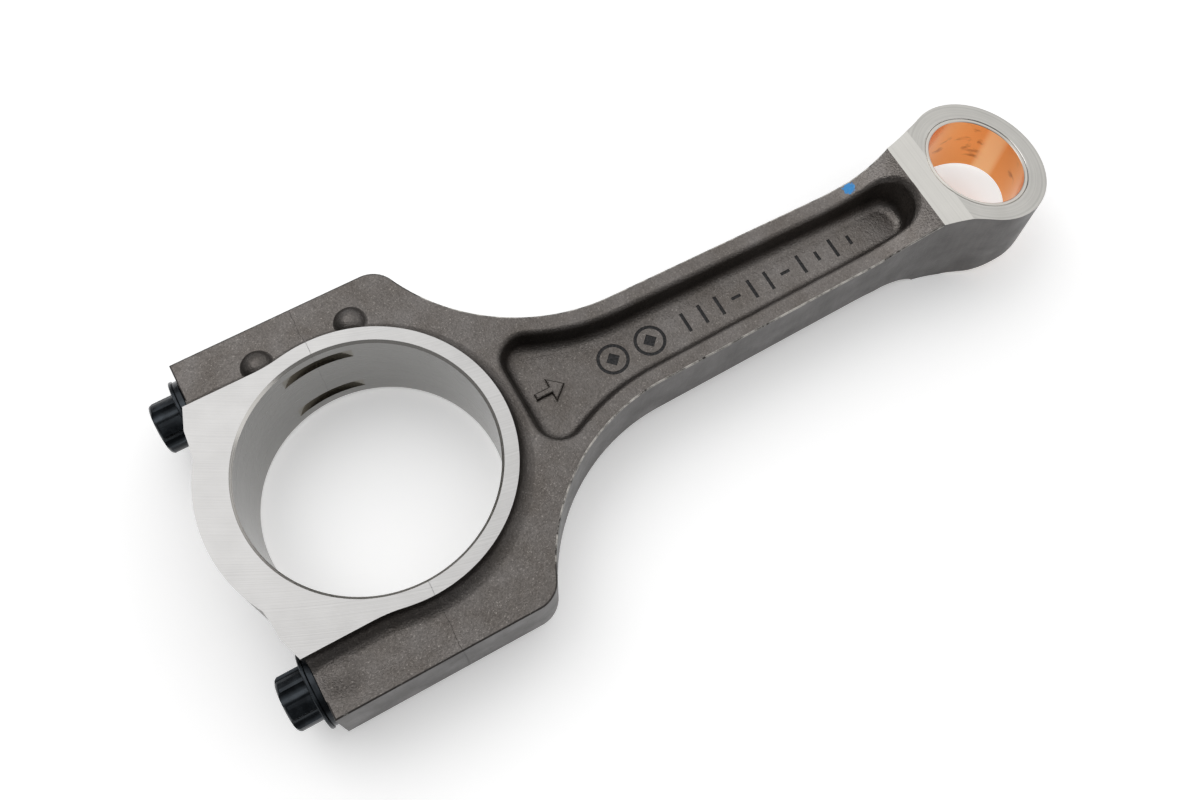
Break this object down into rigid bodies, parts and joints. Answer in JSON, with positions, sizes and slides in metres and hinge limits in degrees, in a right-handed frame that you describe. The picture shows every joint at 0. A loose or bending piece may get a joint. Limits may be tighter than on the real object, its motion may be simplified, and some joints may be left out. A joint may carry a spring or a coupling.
{
  "type": "connecting rod",
  "caption": "Forged engine connecting rod with a fracture-split bearing cap held by two flange bolts, pocketed shank, tapered small end and a bronze pin bush.",
  "frame": {"origin": "centre of the big-end housing bore, halfway through its thickness", "axes": "+X runs along the shank to the pin bore, +Z runs along both bores, +Y completes the right-handed frame and points at the side with the bearing tang notches"},
  "size_m": [0.1933, 0.0792, 0.0256],
  "materials": {
    "forged_steel": "forged and shot-blasted, with ground faces and bored holes left bright",
    "bush_bronze": "finely bored copper-tin bronze",
    "black_oxide_steel": "black oxide with an oily gloss"
  },
  "bodies": {
    "rod": {"rod_body": "forged_steel", "small_end_bush": "bush_bronze"},
    "cap": {"bearing_cap": "forged_steel"},
    "bolt_left": {"cap_bolt_left": "black_oxide_steel"},
    "bolt_right": {"cap_bolt_right": "black_oxide_steel"}
  },
  "joints": [
    {"name": "cap_lift", "type": "slide", "parent": "rod", "child": "cap", "axis": [-1, 0, 0], "range_m": [0, 0.05]},
    {"name": "bolt_left_draw", "type": "slide", "parent": "cap", "child": "bolt_left", "axis": [-1, 0, 0], "range_m": [0, 0.052]},
    {"name": "bolt_right_draw", "type": "slide", "parent": "cap", "child": "bolt_right", "axis": [-1, 0, 0], "range_m": [0, 0.052]}
  ]
}
